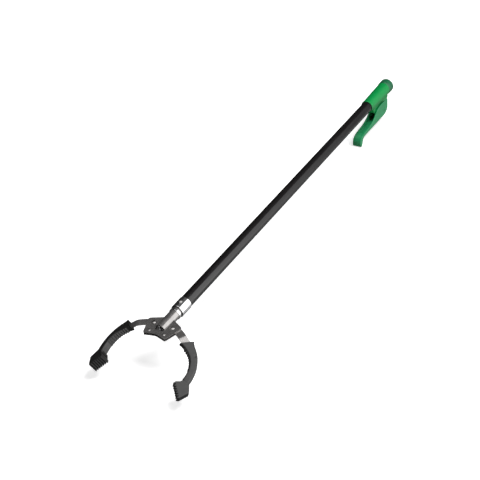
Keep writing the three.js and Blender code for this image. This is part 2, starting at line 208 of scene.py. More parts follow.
def bevel(obj, width, segments=2):
    modifier = obj.modifiers.new("bevel", "BEVEL")
    modifier.width = width
    modifier.segments = segments
    modifier.limit_method = "ANGLE"
    modifier.angle_limit = math.radians(30)
    modifier.miter_outer = "MITER_ARC"
    return bake(obj)


def soften(obj, voxel, passes):
    """Remeshes a moulded piece evenly and rounds its edges."""
    remesh = obj.modifiers.new("remesh", "REMESH")
    remesh.mode = "VOXEL"
    remesh.voxel_size = voxel
    relax = obj.modifiers.new("relax", "SMOOTH")
    relax.factor = 0.5
    relax.iterations = passes
    return bake(obj)


def curve_points(start, *steps, segments=12):
    """An outline from straight steps (x, y) and curved steps (control x, control y, x, y)."""
    points = [start]
    for step in steps:
        if len(step) == 2:
            points.append(step)
            continue
        x0, y0 = points[-1]
        cx, cy, x1, y1 = step
        for i in range(1, segments + 1):
            t = i / segments
            a, b, c = (1 - t) ** 2, 2 * t * (1 - t), t * t
            points.append((a * x0 + b * cx + c * x1, a * y0 + b * cy + c * y1))
    return points


def rounded(points, radius, segments=6):
    """Rounds each corner of a closed outline."""
    made = []
    for i, corner in enumerate(points):
        here = Vector(corner)
        before = Vector(points[i - 1]) - here
        after = Vector(points[(i + 1) % len(points)]) - here
        reach = min(radius, before.length * 0.45, after.length * 0.45)
        start = here + before.normalized() * reach
        end = here + after.normalized() * reach
        for k in range(segments + 1):
            t = k / segments
            made.append(tuple(start * (1 - t) ** 2 + here * 2 * t * (1 - t) + end * t * t))
    return made


def finish(obj, body, material, node, crease=35):
    """Scales a drawn piece to metres, shades it, and puts it on its body in place of a CAD node.
    Edges sharper than the crease angle stay sharp. With a crease of 0 all edges look soft."""
    obj.data.transform(Matrix.Scale(MM, 4))
    for polygon in obj.data.polygons:
        polygon.use_smooth = True
    obj.data.materials.clear()
    obj.data.materials.append(material)
    if crease:
        obj.data.set_sharp_from_angle(angle=math.radians(crease))
        flat = obj.modifiers.new("keep flats flat", "WEIGHTED_NORMAL")
        flat.keep_sharp = True
    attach(obj, body)
    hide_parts(node)


# ---- materials ----
class Nodes:
    """An emptied node tree with short ways to put nodes and sums in it."""

    def __init__(self, tree):
        self.nodes = tree.nodes
        self.links = tree.links
        self.nodes.clear()

    def add(self, kind, **settings):
        node = self.nodes.new(kind)
        for key, value in settings.items():
            setattr(node, key, value)
        return node

    def math(self, operation, a, b=0.0):
        node = self.add("ShaderNodeMath", operation=operation)
        for socket, value in zip(node.inputs, (a, b)):
            if isinstance(value, (int, float)):
                socket.default_value = value
            else:
                self.links.new(value, socket)
        return node.outputs[0]

    def remap(self, value, low, high, to_low=0.0, to_high=1.0, kind="LINEAR"):
        """Runs from to_low where the value is low to to_high where it is high, and stays there."""
        node = self.add("ShaderNodeMapRange", interpolation_type=kind)
        self.links.new(value, node.inputs["Value"])
        numbers = {"From Min": low, "From Max": high, "To Min": to_low, "To Max": to_high}
        for key, number in numbers.items():
            node.inputs[key].default_value = number
        return node.outputs[0]

    def choose(self, switch, yes, no):
        """The first value where the switch is 1 and the second where it is 0."""
        off = self.math("SUBTRACT", 1.0, switch)
        chosen = self.math("MULTIPLY", switch, yes)
        return self.math("ADD", chosen, self.math("MULTIPLY", off, no))


class Shader(Nodes):
    """A Principled material with a few short ways to add procedural detail to it."""

    def __init__(self, name, color, roughness, metallic=0.0, **inputs):
        self.material = bpy.data.materials.new(name)
        self.material.use_nodes = True
        super().__init__(self.material.node_tree)
        self.surface = self.add("ShaderNodeBsdfPrincipled")
        output = self.add("ShaderNodeOutputMaterial")
        self.links.new(self.surface.outputs[0], output.inputs["Surface"])
        self.place = self.add("ShaderNodeTexCoord").outputs["Object"]
        self.color = self.add("ShaderNodeRGB").outputs[0]
        self.color.default_value = (*color, 1)
        self.roughness = self.add("ShaderNodeValue").outputs[0]
        self.roughness.default_value = roughness
        self.normal = None
        self.surface.inputs["Metallic"].default_value = metallic
        for key, value in inputs.items():
            self.surface.inputs[key.replace("_", " ")].default_value = value

    def stretched(self, scale):
        node = self.add("ShaderNodeMapping")
        self.links.new(self.place, node.inputs["Vector"])
        node.inputs["Scale"].default_value = scale
        return node.outputs[0]

    def noise(self, per_metre, detail=3, stretch=(1, 1, 1), low=0.3, high=0.7):
        """Noise remapped so that low becomes 0 and high becomes 1."""
        node = self.add("ShaderNodeTexNoise")
        self.links.new(self.stretched(stretch), node.inputs["Vector"])
        node.inputs["Scale"].default_value = per_metre
        node.inputs["Detail"].default_value = detail
        return self.remap(node.outputs[0], low, high)

    def tint(self, mask, color, amount):
        """Mixes in an amount of a colour where the mask is 1."""
        node = self.add("ShaderNodeMix", data_type="RGBA")
        self.links.new(self.math("MULTIPLY", mask, amount), node.inputs["Factor"])
        self.links.new(self.color, node.inputs["A"])
        node.inputs["B"].default_value = (*color, 1)
        self.color = node.outputs["Result"]
        return self

    def roughen(self, mask, change):
        self.roughness = self.math("ADD", self.roughness, self.math("MULTIPLY", mask, change))
        return self

    def bump(self, height, millimetres, strength):
        node = self.add("ShaderNodeBump")
        node.inputs["Strength"].default_value = strength
        node.inputs["Distance"].default_value = millimetres * MM
        self.links.new(height, node.inputs["Height"])
        if self.normal is not None:
            self.links.new(self.normal, node.inputs["Normal"])
        self.normal = node.outputs[0]
        return self

    def edges(self, radius):
        """A mask of worn edges: where a rounded normal leaves the true one."""
        soft = self.add("ShaderNodeBevel", samples=6)
        soft.inputs["Radius"].default_value = radius * MM
        true = self.add("ShaderNodeNewGeometry")
        dot = self.add("ShaderNodeVectorMath", operation="DOT_PRODUCT")
        self.links.new(soft.outputs[0], dot.inputs[0])
        self.links.new(true.outputs["Normal"], dot.inputs[1])
        return self.remap(dot.outputs["Value"], 0.995, 0.93)

    def done(self):
        self.links.new(self.color, self.surface.inputs["Base Color"])
        self.links.new(self.roughness, self.surface.inputs["Roughness"])
        if self.normal is not None:
            self.links.new(self.normal, self.surface.inputs["Normal"])
        return self.material


def moulded_plastic(name, color, worn):
    s = Shader(name, color, 0.34, IOR=1.48)
    mottle = s.noise(55, 4)
    s.tint(mottle, tuple(c * 0.82 for c in color), 0.5)
    s.tint(s.math("MULTIPLY", s.edges(0.7), s.noise(900, 3, low=0.4, high=0.6)), worn, 0.35)
    s.roughen(s.noise(240, 3), 0.14)
    s.bump(s.noise(2600, 2), 0.018, 0.5)
    return s.bump(s.noise(120, 2), 0.05, 0.25).done()


def powder_coat(name):
    s = Shader(name, (0.004, 0.0036, 0.0038), 0.16, IOR=1.5)
    s.tint(s.noise(30, 3, (0.2, 1, 1)), (0.007, 0.0063, 0.0065), 0.6)
    scuffs = s.noise(160, 4, (0.12, 1, 1), 0.62, 0.7)
    s.tint(scuffs, (0.014, 0.013, 0.013), 0.5)
    s.roughen(s.noise(90, 4, (0.3, 1, 1)), 0.1)
    return s.bump(s.noise(1900, 2), 0.014, 0.35).done()


def plated(name, color, roughness):
    s = Shader(name, color, roughness, 1.0)
    s.tint(s.noise(70, 4, low=0.45, high=0.75), tuple(c * 0.7 for c in color), 0.5)
    s.roughen(s.noise(500, 4, (0.15, 1, 1), 0.45, 0.7), 0.12)
    return s.bump(s.noise(1500, 3, (0.05, 1, 1)), 0.006, 0.5).done()


def head_steel(name):
    s = Shader(name, (0.31, 0.3, 0.295), 0.15, 0.8)
    s.tint(s.noise(65, 5, low=0.35, high=0.75), (0.21, 0.2, 0.2), 0.6)
    s.tint(s.noise(1300, 3, (0.2, 1, 1), 0.55, 0.75), (0.42, 0.4, 0.39), 0.4)
    worn = s.math("MULTIPLY", s.edges(0.35), s.noise(700, 3, low=0.3, high=0.6))
    s.tint(worn, (0.62, 0.6, 0.58), 0.75)
    s.roughen(s.noise(300, 4), 0.12)
    s.bump(s.noise(2400, 3), 0.012, 0.5)
    return s.bump(s.noise(220, 2), 0.03, 0.2).done()


def zinc(name):
    s = Shader(name, (0.62, 0.62, 0.64), 0.27, 1.0)
    s.tint(s.noise(180, 4), (0.48, 0.49, 0.53), 0.6)
    s.roughen(s.noise(420, 3), 0.15)
    return s.bump(s.noise(1800, 2), 0.008, 0.5).done()


def nylon(name):
    s = Shader(name, (0.72, 0.69, 0.62), 0.5, IOR=1.53, Subsurface_Weight=0.1)
    s.tint(s.noise(200, 3), (0.6, 0.57, 0.5), 0.4)
    return s.bump(s.noise(1500, 2), 0.02, 0.4).done()


def boot_rubber(name):
    s = Shader(name, (0.006, 0.006, 0.0058), 0.36, IOR=1.5)
    s.tint(s.noise(60, 4), (0.011, 0.0107, 0.0104), 0.6)
    worn = s.math("MULTIPLY", s.edges(0.8), s.noise(600, 4, low=0.35, high=0.65))
    s.tint(worn, (0.05, 0.049, 0.047), 0.5)
    s.roughen(s.noise(350, 3), 0.15)
    s.bump(s.noise(3000, 2), 0.03, 0.5)
    return s.bump(s.noise(700, 3), 0.05, 0.3).done()


grip_green = moulded_plastic("grip_green", (0.0, 0.19, 0.04), (0.1, 0.45, 0.22))
lever_green = moulded_plastic("lever_green", (0.012, 0.185, 0.068), (0.12, 0.42, 0.24))
# The cap's green is a darker copy of the grip's green. It is painted shade for the dome, which faces
# away from the light.
cap_shaded_green = moulded_plastic("cap_shaded_green", (0.006, 0.085, 0.034), (0.1, 0.35, 0.2))
tube_black = powder_coat("tube_black")
chrome = plated("bright_chrome", (0.86, 0.86, 0.87), 0.09)
steel = head_steel("dark_steel")
rivet_steel = plated("rivet_steel", (0.42, 0.41, 0.4), 0.3)
zinc_plate = zinc("zinc_plate")
rubber = boot_rubber("boot_rubber")
natural_nylon = nylon("natural_nylon")

# CAD nodes that are out of sight and stay as they are
CARRIED = {
    "pull_rod": zinc_plate,
    "rod_yoke": zinc_plate,
    "spring_collar": zinc_plate,
    "return_spring": zinc_plate,
    "spring_seat": natural_nylon,
    "mid_rod_guide": natural_nylon,
    "front_rod_guide": natural_nylon,
}


# ---- holes that run through more than one piece ----
def ferrule_screw_hole():
    return peg(2.3, 0, 20, SCREW_X)


def grip_screw_hole():
    return peg(1.9, -20, 0, GRIP_SCREW_X)


def tongue_slot(half):
    """The opening under the tube in which the lever's tongue swings."""
    return block(25, 50.5, -half, half, -50, -5)


def pivot_hole(radius):
    """The hole for the pin that the lever turns on."""
    return peg(radius, -20, 20, LEVER_X, 0, LEVER_Z, "Y")


# ---- tube, ferrule and collar ----
def build_tube():
    inner = TUBE_R - TUBE_WALL
    ends = [(TUBE_FROM, inner), (TUBE_FROM, TUBE_R), (TUBE_TO, TUBE_R), (TUBE_TO, inner)]
    tube = lathe("tube_shell", ends, 128)
    cut(tube, tongue_slot(TONGUE_HALF + 0.9), ferrule_screw_hole(), grip_screw_hole())
    bevel(tube, 0.3)
    finish(tube, "frame", tube_black, "main_tube")


def build_ferrule():
    bore = TUBE_R + GAP
    wall = FERRULE_R - 0.15
    lip = bore - 0.2
    shape = [
        (FERRULE_FROM, bore),
        (FERRULE_FROM, wall - 0.2),
        (FERRULE_FROM + 0.5, wall),
        (FERRULE_TO - 3.4, wall),
        (FERRULE_TO - 2.6, FERRULE_R),
        (FERRULE_TO - 0.7, FERRULE_R),
        (FERRULE_TO, FERRULE_R - 0.45),
        (FERRULE_TO, lip),
        (FERRULE_TO - 1.2, lip),
        (FERRULE_TO - 1.2, bore),
    ]
    ferrule = cut(lathe("ferrule_sleeve", shape, 128), ferrule_screw_hole())
    bevel(ferrule, 0.12)
    finish(ferrule, "frame", chrome, "ferrule")


def build_collar():
    inner = RIDGE_R + GAP
    ring = [(COLLAR_FROM, inner), (COLLAR_FROM, COLLAR_R)]
    ring += [(COLLAR_TO, COLLAR_R), (COLLAR_TO, inner)]
    collar = bevel(lathe("collar_ring", ring, 128), 0.35, 4)
    finish(collar, "frame", chrome, "neck_collar")


# ---- screws ----
def domed_head(radius, base, top, steps=8):
    """Profile of a domed head from its rim at base up to its middle at top."""
    edge = 0.22 * (top - base)
    points = [(base, radius * 0.96), (base + edge, radius)]
    for i in range(1, steps + 1):
        turn = i / steps * math.pi / 2
        points.append((base + edge + (top - base - edge) * math.sin(turn), radius * math.cos(turn)))
    points[-1] = (top, 0)
    return points


def cut_cross(screw, reach, half, low, high):
    for half_x, half_y in ((reach, half), (half, reach)):
        cut(screw, block(-half_x, half_x, -half_y, half_y, low, high))


def build_ferrule_screw():
    rim = SCREW_TOP - 1.5
    shape = [(4.2, 0), (4.2, 1.9), (rim, 1.9), *domed_head(3.5, rim, SCREW_TOP)]
    screw = lathe("collar_screw", shape, 64, "Z")
    cut_cross(screw, 1.9, 0.36, SCREW_TOP - 0.9, SCREW_TOP + 1)
    bevel(move(screw, SCREW_X), 0.08)
    finish(screw, "frame", rivet_steel, "ferrule_screw")


def build_grip_screw():
    low = span("grip_screw", 2)[0]
    rim = low + 1.3
    head = [(-z, r) for z, r in domed_head(3.2, -rim, -low)]
    screw = lathe("butt_screw", [(-10, 0), (-10, 1.6), (rim, 1.6), *head], 64, "Z")
    cut_cross(screw, 1.7, 0.34, low - 1, low + 0.8)
    bevel(move(screw, GRIP_SCREW_X), 0.08)
    finish(screw, "frame", zinc_plate, "grip_screw")


# ---- grip and cap ----
KEEL_HALF = 5.6  # half the thickness of the keel that holds the lever's pin
SADDLE_HALF = 9  # half the width of the thicker part above it
BOSS_HALF = 3  # half the width of the cap's square boss, which plugs into the grip


def arc(x, y, radius, start, end, segments=16):
    """Points along an arc between two angles in degrees."""
    turns = [math.radians(start + (end - start) * i / segments) for i in range(segments + 1)]
    return [(x + radius * math.cos(a), y + radius * math.sin(a)) for a in turns]


def build_grip():
    start = CAP_LIP + GAP
    barrel = lathe(
        "grip_moulding",
        [
            (GRIP_FROM, 0),
            (GRIP_FROM, STEP_R),
            (start, STEP_R),
            (start, 13.5),
            (start + 0.6, 13.9),
            (28, 13.85),
            (40, 13.7),
            (55, 13.45),
            (70, 13.1),
            (88, 12.65),
            (GRIP_TO - 3.2, 12.4),
            (GRIP_TO - 2.6, 12.9),
            (GRIP_TO - 0.8, 12.9),
            (GRIP_TO, 12.2),
            (GRIP_TO, 0),
        ],
        128,
    )
    heel = [(start, -8), (start, -15.5), (start + 1.5, -17.9)]
    keel = [*heel, (27, -17.9), (29.5, -33)]
    keel += arc(LEVER_X, LEVER_Z, 4.8, 153, 279)
    keel += [(60, -37), (80, -25), (84, -8)]
    saddle = [*heel, (37, -17.9), (50, -13.4), (54, -8)]
    join(
        barrel,
        prism("keel", keel, -KEEL_HALF, KEEL_HALF, "Y"),
        prism("saddle", saddle, -SADDLE_HALF, SADDLE_HALF, "Y"),
    )
    hole = BOSS_HALF + GAP
    cut(
        barrel,
        peg(TUBE_R + GAP, TUBE_FROM - 1, GRIP_TO + 1, axis="X", sides=128),
        tongue_slot(TONGUE_HALF + 0.5),
        pivot_hole(PIVOT_R + 0.2),
        grip_screw_hole(),
        block(-1, 22, -hole, hole, -hole, hole),
    )
    soften(barrel, 0.42, 6)
    finish(barrel, "frame", grip_green, "grip_body", crease=0)


def build_cap():
    flat, depth, steps = 6.5, 5, 16
    dome = [(0, 0), (0, flat)]
    for i in range(1, steps + 1):
        turn = i / steps * math.pi / 2
        dome.append((depth * (1 - math.cos(turn)), flat + (CAP_R - flat) * math.sin(turn)))
    inside = STEP_R + GAP
    floor = GRIP_FROM - GAP
    dome += [(CAP_LIP - 2.2, CAP_R), (CAP_LIP, CAP_R - 1.4), (CAP_LIP, inside)]
    dome += [(floor, inside), (floor, 0)]
    cap = lathe("butt_dome", dome, 128)
    join(cap, block(floor - 2, floor + 4.3, -BOSS_HALF, BOSS_HALF, -BOSS_HALF, BOSS_HALF))
    bevel(cap, 0.25, 3)
    # the cap's darker green is painted shade
    finish(cap, "frame", cap_shaded_green, "grip_end_cap")


# ---- lever ----
POCKET_HALF = 6.8  # half the width of the hollow between the lever's walls
FORK_HALF = 2.15  # half the width of the slot for the yoke's pin in the end of its tongue


def build_lever():
    """A channel, open at the top, with a hook at the front and a forked tongue up into the tube."""
    side = curve_points(
        (21.5, -21),
        (22.5, -38),
        (24, -45, 32, -48),
        (40, -51, 52, -49.5),
        (132, -49),
        (140.5, -50, 142.5, -57),
        (144, -64, 148, -65.5),
        (153, -66, 152.5, -60),
        (153, -47, 140, -44),
        (126, -41.5, 112, -41),
        (88, -38, 76, -27),
        (68, -19.5, 56, -19),
        (24, -18.5),
    )
    pocket = curve_points(
        (24.5, -10),
        (25, -38),
        (27, -43, 34, -45.6),
        (41, -48.2, 52, -46.9),
        (130, -46.4),
        (137, -43),
        (130, -10),
    )
    lever = prism("lever_moulding", side, -LEVER_HALF, LEVER_HALF, "Y")
    cut(lever, prism("pocket", pocket, -POCKET_HALF, POCKET_HALF, "Y"))
    reach = -LEVER_Z  # from the pivot up to the rod
    lean = math.atan2(PIN_X - HEAD_X, reach)
    swing = Matrix.Translation((LEVER_X, 0, LEVER_Z)) @ Matrix.Rotation(lean, 4, "Y")
    outline = [(-5, -10.5), (5, -10.5), (5, 0), (4.6, 42), (-4.6, 42), (-5, 0)]
    tongue = prism("tongue", outline, -TONGUE_HALF, TONGUE_HALF, "Y")
    tongue.data.transform(swing)
    fork = block(-FORK_HALF, FORK_HALF, -9, 9, reach - 3.2, reach + 9)
    fork.data.transform(swing)
    join(lever, keep(tongue, block(10, 70, -4, 4, -48, 12)))
    cut(lever, fork, pivot_hole(PIVOT_R + 0.25))
    soften(lever, 0.4, 5)
    finish(lever, "squeeze_lever", lever_green, "trigger", crease=0)


def build_lever_pin():
    """The lever's pivot, with its head on the +Y side and a clip on the other."""
    shape = [(-11.3, 0), (-11.3, 1.6), (-10.9, PIVOT_R), (9.3, PIVOT_R)]
    shape += [(9.3, 3.6), (9.9, 3.6), (10.4, 2.6), (10.4, 0)]
    pivot = bevel(lathe("lever_pin", shape, 48, "Y"), 0.15)
    finish(move(pivot, LEVER_X, 0, LEVER_Z), "frame", lever_green, "trigger_pin")
    shape = [(-10.1, 2.3), (-10.1, 4), (-9.3, 4), (-9.3, 2.3)]
    ring = bevel(lathe("lever_clip", shape, 48, "Y"), 0.15)
    finish(move(ring, LEVER_X, 0, LEVER_Z), "frame", zinc_plate, "trigger_pin_clip")


# ---- head ----
# one side of a head plate, from the neck to the middle of the front edge
PLATE_EDGE = [
    (HEAD_X - 17.5, 9.2),
    (HEAD_X - 15.5, 12.6),
    (HEAD_X - 7.4, 29.2),
    (HEAD_X - 5.2, 31.3),
    (HEAD_X - 2.4, 31.2),
    (HEAD_X + 25.8, 21.6),
    (HEAD_X + 27.6, 19.4),
    (HEAD_X + 26.6, 17),
    (HEAD_X + 22.6, 0),
]
RIDGE_TO = HEAD_X + 9
WINDOW_TO = HEAD_X + 13.5


def build_plate(name, node, turned_over):
    """A flat plate with a window and a half-round ridge, which covers the neck."""
    bore = RIDGE_R - SHEET
    mirrored = [(x, -y) for x, y in reversed(PLATE_EDGE[:-1])]
    plate = prism(name, rounded(PLATE_EDGE + mirrored, 1.4), PLATE_FACE, PLATE_FACE + SHEET)
    back = HEAD_X - 19
    window = [(back, -bore), (WINDOW_TO, -bore), (WINDOW_TO, bore), (back, bore)]
    cut(plate, prism("window", rounded(window, 1.5), 0, 9))
    tube = [(NECK_FROM, bore), (NECK_FROM, RIDGE_R), (RIDGE_TO, RIDGE_R), (RIDGE_TO, bore)]
    ridge = keep(lathe("ridge", tube, 128), block(NECK_FROM - 1, RIDGE_TO + 1, -20, 20, 0.15, 20))
    cut(ridge, block(HEAD_X - 18, RIDGE_TO + 1, -20, 20, -1, PLATE_FACE))
    join(plate, ridge)
    holes = [ferrule_screw_hole()]
    for side in (-1, 1):
        holes.append(peg(2.8, 0, 20, HEAD_X, side * JAW_Y))
        holes.append(peg(2.0, 0, 20, SPACER_X, side * SPACER_Y))
    cut(plate, *holes)
    bevel(plate, 0.22)
    if turned_over:
        plate.data.transform(Matrix.Rotation(math.pi, 4, "X"))
    finish(plate, "frame", steel, node)


def build_rivet(name, node, x, y, shank, head, rise):
    """A rivet through both plates, with the same domed head at both ends."""
    face = PLATE_FACE + SHEET + 0.1
    top = [(face, shank), *domed_head(head, face, face + rise)]
    foot = [(-z, r) for z, r in reversed(top)]
    rivet = lathe(name, foot + top, 64, "Z")
    finish(move(rivet, x, y), "frame", rivet_steel, node)


def build_head():
    build_plate("upper_plate", "head_plate_top", False)
    build_plate("lower_plate", "head_plate_bottom", True)
    for word, side in SIDES.items():
        build_rivet("jaw_pivot_" + word, "jaw_rivet_" + word, HEAD_X, side * JAW_Y, 2.4, 3.7, 1.5)
        spacer_y = side * SPACER_Y
        build_rivet("plate_rivet_" + word, "spacer_rivet_" + word, SPACER_X, spacer_y, 1.7, 2.4, 1)


def build_crosshead():
    """A block on the front of the rod, open at the front, with the two pins that turn the jaws."""
    back, front = span("crosshead", 0)
    half_y = span("crosshead", 1)[1]
    half_z = span("crosshead", 2)[1]
    web_front = back + 3.2
    crosshead = block(back, front, -half_y, half_y, -half_z, half_z)
    crosshead.name = "rod_crosshead"
    cut(
        crosshead,
        block(web_front, front + 5, -9, 9, -PLATE_FACE, PLATE_FACE),
        peg(2.1, back - 1, web_front + 1, axis="X"),
        peg(1.75, -6, 6, PIN_X, PIN_Y),
        peg(1.75, -6, 6, PIN_X, -PIN_Y),
    )
    bevel(crosshead, 0.45, 3)
    finish(crosshead, "rod_assembly", chrome, "crosshead")
    shape = [(-4.6, 0), (-4.6, 1.5), (3.7, 1.5), *domed_head(2.1, 3.7, 4.4)]
    for word, side in SIDES.items():
        pin = move(lathe("crosshead_peg_" + word, shape, 48, "Z"), PIN_X, side * PIN_Y)
        finish(pin, "rod_assembly", chrome, "crosshead_pin_" + word)


def build_yoke_pin():
    shape = [(-6.9, 0), (-6.9, 2.6), (-6.3, 2.9), (-6.3, 1.7), (6.4, 1.7), (6.8, 1.4), (6.8, 0)]
    pin = bevel(lathe("lever_yoke_pin", shape, 48, "Y"), 0.12)
    move(pin, middle("yoke_pin", 0))
    finish(pin, "rod_assembly", zinc_plate, "yoke_pin")


# ---- jaws ----
# A jaw is drawn flat: x runs along the arm from its rivet, y to the outside of the curve and z up.
# It is then bent down in front of the plates and turned out to its side.
ARM_OUT = math.radians(58.4)
ARM_DROP = math.radians(28.9)
BEND_AT = 27.5
BEND_LENGTH = 7
ARM_PATH = [
    (0, 3),
    (14, 4.9),
    (27.5, 5.2),
    (39.5, 6),
    (54.5, 6.4),
    (65.5, 4.6),
    (75, 0.2),
    (83.5, -6),
    (92, -16),
    (97, -25),
]
ARM_END = 0.96  # this and the next are shares of the path's length
CUFF_AT = 0.355
CUFF_FLARE = 1.3
CUFF_SLANT = 4.2  # how far the cuff leans from its middle to its edge
SLEEVE_TOP = 8.2
SLEEVE_BOTTOM = -5.2
SQUARENESS = 0.42  # of the sleeve's section: 1 is round and 0 is square
PAD_HEEL = (BEND_AT + 61.7, -39.8)
PAD_TIP = (BEND_AT + 88.4, -45.9)
PAD_BACK = (BEND_AT + 87.6, -26.8)
PAD_TOP = 7.8
PAD_BOTTOM = -9.4
LUMPS = 9
LUMP_R = 1.35
LUMP_SUNK = 0.3  # how far inside the sleeve's face the middle of a lump is
TEETH = 7
TOOTH_LEAN = 0.22
TOOTH_TIP = 1.9  # the teeth run from this far outside the pad's face
TOOTH_ROOT = 2.0  # to this far inside it
# one tooth, as shares of its pitch and heights over the pad's face
TOOTH = ((0.0, -TOOTH_ROOT), (0.14, -TOOTH_ROOT), (0.46, TOOTH_TIP), (0.68, TOOTH_TIP))


def catmull(points, t):
    n = len(points) - 1
    i = min(int(t * n), n - 1)
    u = t * n - i
    p0, p1, p2, p3 = (Vector(points[min(max(k, 0), n)]) for k in (i - 1, i, i + 1, i + 2))
    a = 2 * p1 - 2 * p2 + (p2 - p0) / 2 + (p3 - p1) / 2
    b = -3 * p1 + 3 * p2 - (p2 - p0) - (p3 - p1) / 2
    return a * u**3 + b * u**2 + (p2 - p0) / 2 * u + p1


class Path:
    """The arm's middle line. A place on it is given as a share of its length, from 0 to 1."""

    def __init__(self, points, samples=400):
        self.points = [catmull(points, i / samples) for i in range(samples + 1)]
        self.lengths = [0.0]
        for a, b in zip(self.points, self.points[1:]):
            self.lengths.append(self.lengths[-1] + (b - a).length)
        self.total = self.lengths[-1]

    def at(self, share):
        """The point and the direction there. A share outside 0 to 1 runs straight on."""
        want = share * self.total
        i = 0
        while i < len(self.points) - 2 and self.lengths[i + 1] < want:
            i += 1
        a, b = self.points[i], self.points[i + 1]
        direction = (b - a).normalized()
        return a + direction * (want - self.lengths[i]), direction


ARM = Path(ARM_PATH)


def smooth(t, low, high):
    t = min(max((t - low) / (high - low), 0), 1)
    return t * t * (3 - 2 * t)


def mix(a, b, t):
    return a + (b - a) * t


def arm_half(t):
    """Half the width of the arm at a share t of its length."""
    return mix(6.5, 4.2, smooth(t, 0.3, 0.75))


def sweep(name, start, end, steps, section):
    """Lays a ring of (out, up) points along the arm at each step. section(t) gives the ring, and a
    third number in a point moves it along the arm."""
    bm = bmesh.new()
    rings = []
    for i in range(steps + 1):
        t = mix(start, end, i / steps)
        ring = []
        for out, up, *lag in section(t):
            point, direction = ARM.at(t + (lag[0] / ARM.total if lag else 0))
            across = Vector((-direction.y, direction.x)) * out
            ring.append(bm.verts.new((point.x + across.x, point.y + across.y, up)))
        rings.append(ring)
    for first, second in zip(rings, rings[1:]):
        for i in range(len(first)):
            j = (i + 1) % len(first)
            bm.faces.new((first[i], first[j], second[j], second[i]))
    bm.faces.new(rings[0])
    bm.faces.new(rings[-1])
    return as_object(name, bm)


def bend_and_place(obj, side):
    """Bends a jaw piece down round a short arc, keeping its thickness, and puts it on its rivet."""
    radius = BEND_LENGTH / ARM_DROP
    start = BEND_AT - BEND_LENGTH / 2
    for vertex in obj.data.vertices:
        x, y, z = vertex.co
        turn = min(max((x - start) / radius, 0), ARM_DROP)
        beyond = max(0, x - start - BEND_LENGTH)
        sine, cosine = math.sin(turn), math.cos(turn)
        forward = min(x, start) + radius * sine + beyond * cosine + z * sine
        vertex.co = (forward, y, z * cosine - radius * (1 - cosine) - beyond * sine)
    place = Matrix.Translation((HEAD_X, side * JAW_Y, 0))
    mirror = Matrix.Diagonal((1, side, 1, 1))
    obj.data.transform(place @ mirror @ Matrix.Rotation(ARM_OUT, 4, "Z"))
    if side < 0:
        obj.data.flip_normals()


def flat_section(half_width, half_height):
    x, y = half_width, half_height
    return [(-x, -y), (x, -y), (x, y), (-x, y)]


def build_arm(word, side):
    """A bent strip that turns on its rivet, with a slotted horn that reaches the crosshead's pin."""
    half = ARM_SHEET / 2
    arm = sweep("jaw_strip_" + word, 0.04, ARM_END, 110, lambda t: flat_section(arm_half(t), half))
    inwards = JAW_Y - PIN_Y
    reach = math.hypot(inwards, PIN_X - HEAD_X)
    prongs = [(0, -4.2), (reach + 2, -3.6), (reach + 2, 3.6), (0, 4.2)]
    horn = prism("horn", rounded(prongs, 0.8), -half, half)
    cut(horn, block(reach - 4, reach + 6, -1.85, 1.85, -3, 3))
    lean = math.atan2(-inwards, PIN_X - HEAD_X) - ARM_OUT
    horn.data.transform(Matrix.Rotation(lean, 4, "Z"))
    join(arm, peg(8.4, -half, half, sides=96), horn)
    cut(arm, peg(2.75, -9, 9))
    bend_and_place(arm, side)
    bevel(arm, 0.28, 3)
    finish(arm, "jaw_" + word, steel, "jaw_arm_" + word)


def sleeve_half(t):
    """Half the width of the rubber sleeve at a share t of the arm's length."""
    return mix(8.2, 6.3, smooth(t, 0.36, 0.7)) + CUFF_FLARE * (1 - smooth(t, 0.37, 0.45))


def squared(wave):
    """Turns a sine or cosine into one with flat tops, to make a rounded box of a circle."""
    return math.copysign(abs(wave) ** SQUARENESS, wave)


def sleeve_section(t, count=40):
    """A rounded box round the arm. At the cuff it flares into sharp corners and is cut slantwise."""
    half = sleeve_half(t) + CUFF_FLARE * (1 - smooth(t, CUFF_AT + 0.006, CUFF_AT + 0.03))
    slant = CUFF_SLANT * (1 - smooth(t, CUFF_AT, CUFF_AT + 0.2))
    points = []
    for i in range(count):
        angle = 2 * math.pi * (i + 0.5) / count
        out = squared(math.cos(angle))
        up = mix(SLEEVE_BOTTOM, SLEEVE_TOP, (squared(math.sin(angle)) + 1) / 2)
        points.append((half * out, up, slant * out))
    return points


def pad_outline():
    points = [PAD_BACK, (BEND_AT + 74.5, -20), (BEND_AT + 66, -22), (BEND_AT + 65, -32)]
    for i in range(TEETH):
        for share, height in TOOTH:
            t = (i + share) / TEETH
            out = mix(PAD_HEEL[1], PAD_TIP[1], t) - height
            points.append((mix(PAD_HEEL[0], PAD_TIP[0], t) - height * TOOTH_LEAN, out))
    points.append((PAD_TIP[0] + TOOTH_ROOT * TOOTH_LEAN, PAD_TIP[1] + TOOTH_ROOT))
    return points


def beside_arm(t, out):
    """The point that lies so far to the outside of the arm's middle line."""
    point, direction = ARM.at(t)
    return point.x - direction.y * out, point.y + direction.x * out


def pocket_section(t):
    return flat_section(arm_half(t) + GAP, ARM_SHEET / 2 + GAP)


def build_boot(word, side):
    """A rubber sleeve and grip pad in one, with lumps inside the curve and a dimple on top."""
    boot = sweep("boot_moulding_" + word, CUFF_AT, 0.985, 90, sleeve_section)
    join(boot, prism("pad", pad_outline(), PAD_BOTTOM, PAD_TOP))
    lumps = []
    for i in range(LUMPS):
        t = mix(0.43, 0.8, i / (LUMPS - 1))
        x, y = beside_arm(t, LUMP_SUNK - sleeve_half(t))
        lumps.append(peg(LUMP_R, -4.2, 6.6, x, y, sides=24))
    join(boot, *lumps)
    cut(boot, peg(1.3, 7.2, 12, *beside_arm(0.6, 2.6)))
    cut(boot, sweep("pocket", 0.2, ARM_END + 0.01, 90, pocket_section))
    soften(boot, 0.42, 2)
    bend_and_place(boot, side)
    finish(boot, "jaw_" + word, rubber, "jaw_boot_" + word, crease=0)


